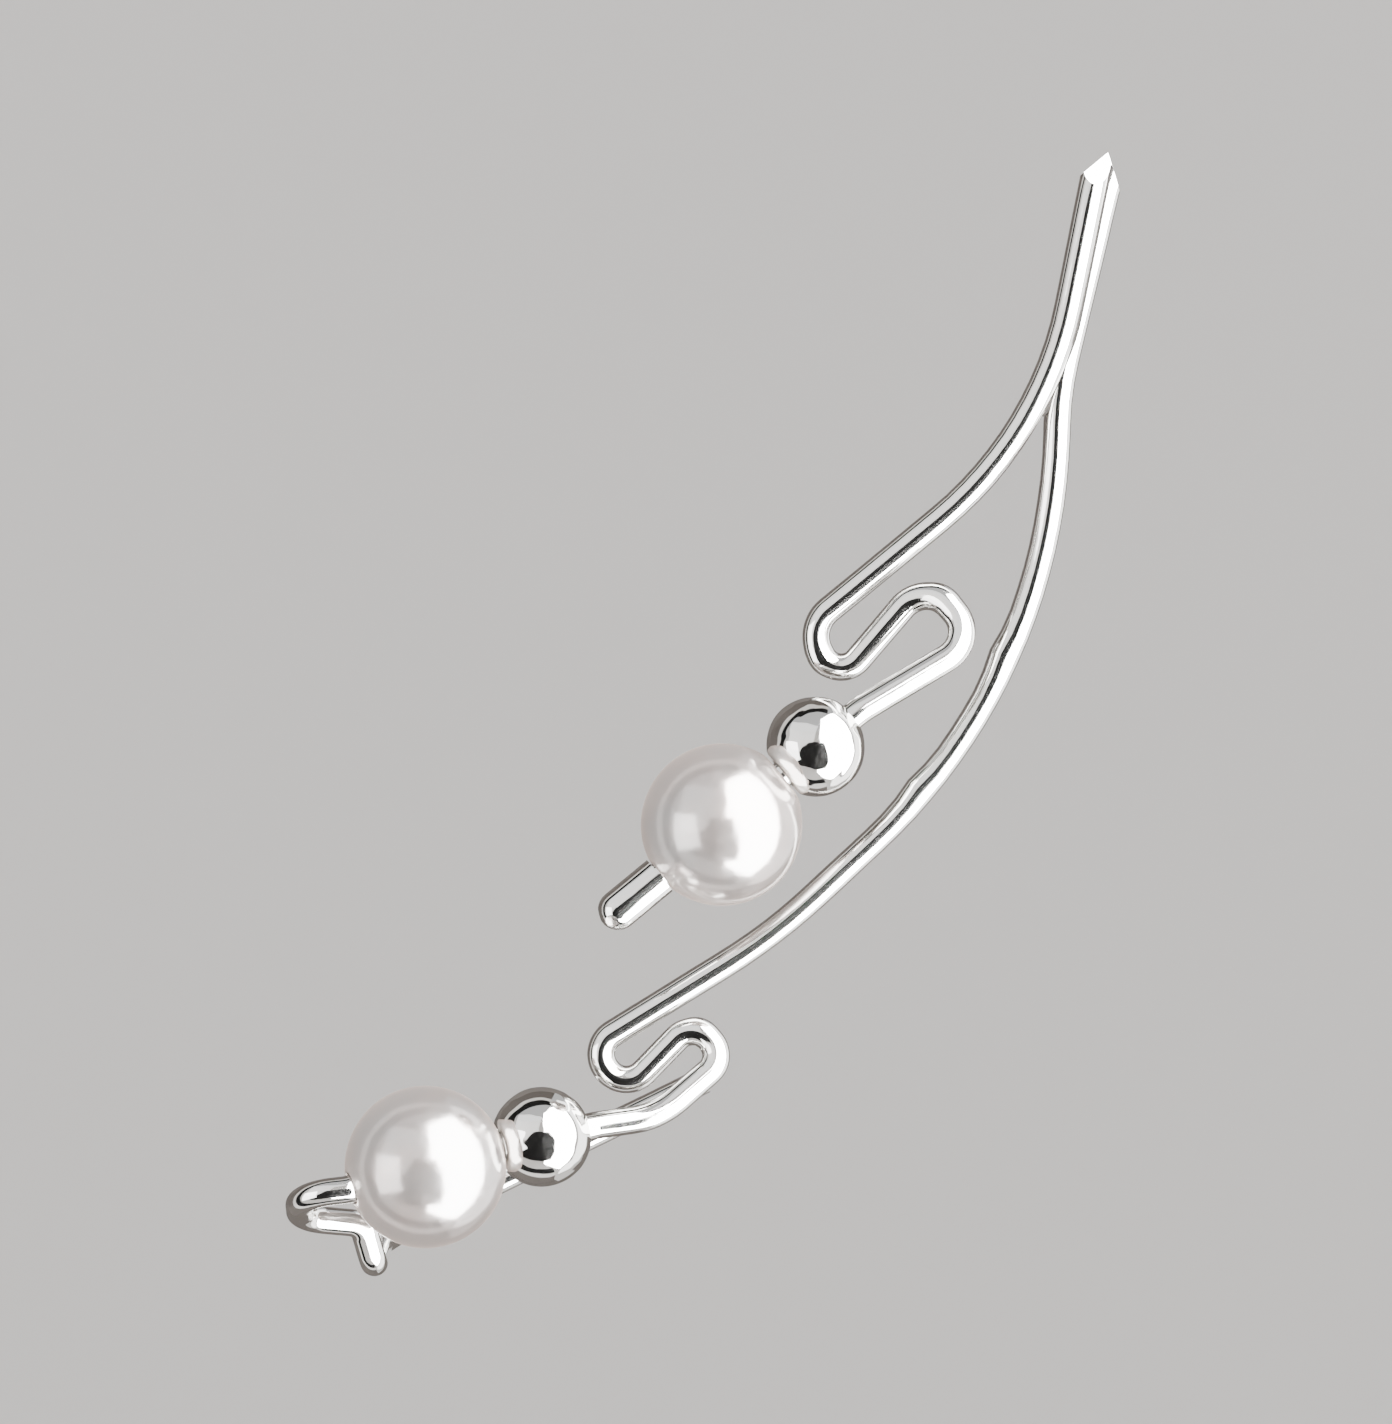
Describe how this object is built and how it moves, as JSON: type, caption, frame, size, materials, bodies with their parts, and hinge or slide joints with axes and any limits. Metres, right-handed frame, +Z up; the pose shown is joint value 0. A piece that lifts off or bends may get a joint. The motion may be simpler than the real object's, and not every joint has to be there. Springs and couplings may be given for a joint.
{
  "type": "pearl earring",
  "caption": "Ear climber of bent silver wire: a filed tip splits into curved branches, each ending in a silver bead and a pearl, with a straight pin behind the lobe.",
  "frame": {"origin": "where the wire enters the front of the ear lobe, on the wire's axis", "axes": "+X across the front from the lower pearl towards the filed tip's side, +Y into the ear along the pierced hole, +Z up"},
  "size_m": [0.0181, 0.0088, 0.0244],
  "materials": {
    "silver_wire": "polished silver wire with fine draw lines",
    "silver_bead": "bright polished silver",
    "pearl": "lustrous nacre, softly glossy, faint pink overtone"
  },
  "bodies": {
    "root": {"wire_frame": "silver_wire", "upper_bead": "silver_bead", "upper_pearl": "pearl", "lower_bead": "silver_bead", "lower_pearl": "pearl"}
  },
  "joints": []
}
